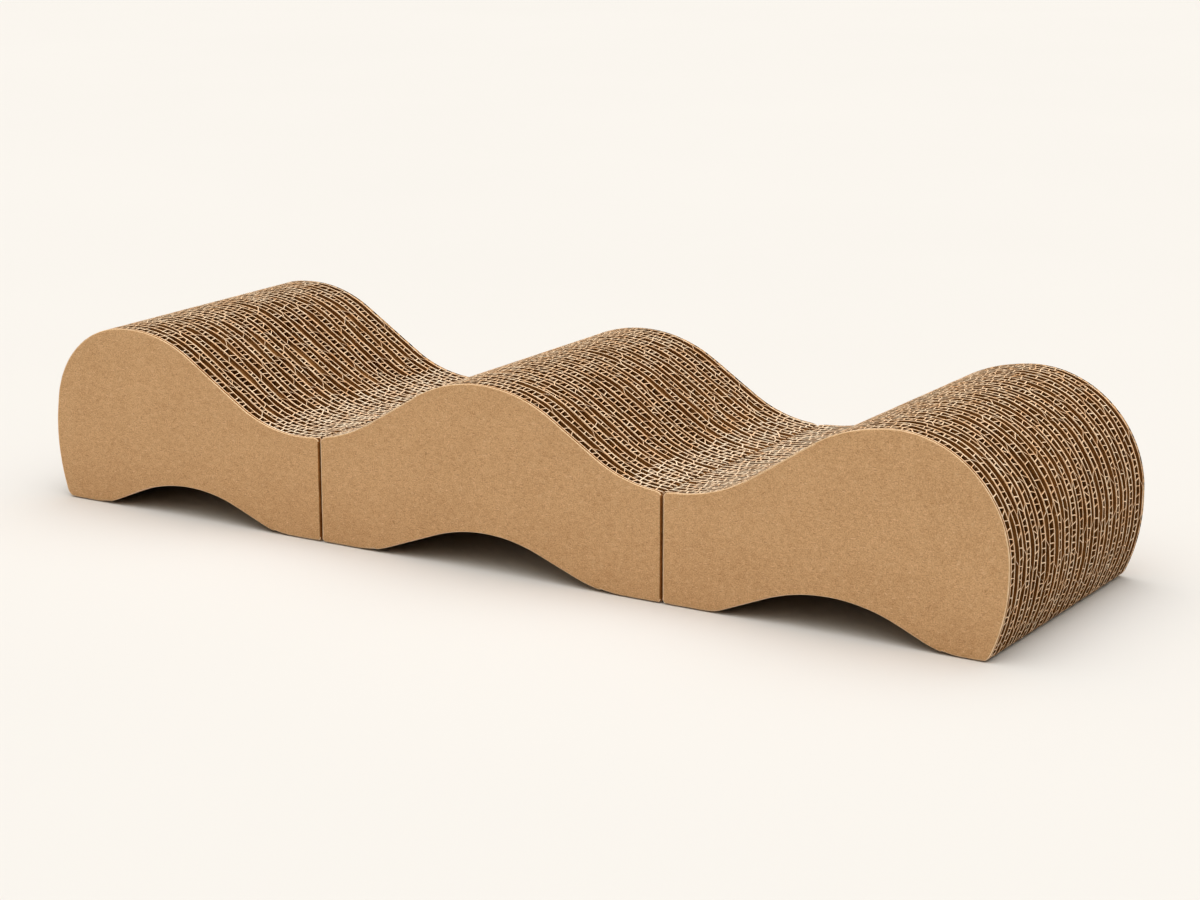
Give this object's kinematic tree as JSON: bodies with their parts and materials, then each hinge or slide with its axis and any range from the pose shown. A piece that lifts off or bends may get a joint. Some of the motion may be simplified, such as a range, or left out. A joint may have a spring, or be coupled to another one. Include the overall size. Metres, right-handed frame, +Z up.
{
  "type": "cardboard cat scratcher",
  "caption": "Long wavy cat scratcher and lounger of die-cut corrugated cardboard, in loose blocks that stand end to end on arched feet.",
  "frame": {"origin": "on the floor, under the middle of the whole length and width", "axes": "+X along the row of blocks, from the left block to the right block; -Y faces the pictured front; +Z up"},
  "size_m": [0.8017, 0.23, 0.1456],
  "materials": {
    "side_board": "matt kraft board with a fine speckle and a pale cut edge",
    "liner_paper": "matt kraft liner, seen as pale cut edges",
    "fluting_paper": "matt brown fluting paper"
  },
  "bodies": {
    "left_block": {"left_front_panel": "side_board", "left_back_panel": "side_board", "left_liners_1": "liner_paper", "left_liners_2": "liner_paper", "left_liners_3": "liner_paper", "left_liners_4": "liner_paper", "left_liners_5": "liner_paper", "left_liners_6": "liner_paper", "left_flutes_1": "fluting_paper", "left_flutes_2": "fluting_paper", "left_flutes_3": "fluting_paper", "left_flutes_4": "fluting_paper", "left_flutes_5": "fluting_paper", "left_flutes_6": "fluting_paper"},
    "middle_block": {"middle_front_panel": "side_board", "middle_back_panel": "side_board", "middle_liners_1": "liner_paper", "middle_liners_2": "liner_paper", "middle_liners_3": "liner_paper", "middle_liners_4": "liner_paper", "middle_liners_5": "liner_paper", "middle_liners_6": "liner_paper", "middle_flutes_1": "fluting_paper", "middle_flutes_2": "fluting_paper", "middle_flutes_3": "fluting_paper", "middle_flutes_4": "fluting_paper", "middle_flutes_5": "fluting_paper", "middle_flutes_6": "fluting_paper"},
    "right_block": {"right_front_panel": "side_board", "right_back_panel": "side_board", "right_liners_1": "liner_paper", "right_liners_2": "liner_paper", "right_liners_3": "liner_paper", "right_liners_4": "liner_paper", "right_liners_5": "liner_paper", "right_liners_6": "liner_paper", "right_flutes_1": "fluting_paper", "right_flutes_2": "fluting_paper", "right_flutes_3": "fluting_paper", "right_flutes_4": "fluting_paper", "right_flutes_5": "fluting_paper", "right_flutes_6": "fluting_paper"}
  },
  "joints": [
    {"name": "left_block_slide", "type": "slide", "parent": "middle_block", "child": "left_block", "axis": [-1, 0, 0], "range_m": [0, 0.12]},
    {"name": "right_block_slide", "type": "slide", "parent": "middle_block", "child": "right_block", "axis": [1, 0, 0], "range_m": [0, 0.12]}
  ]
}
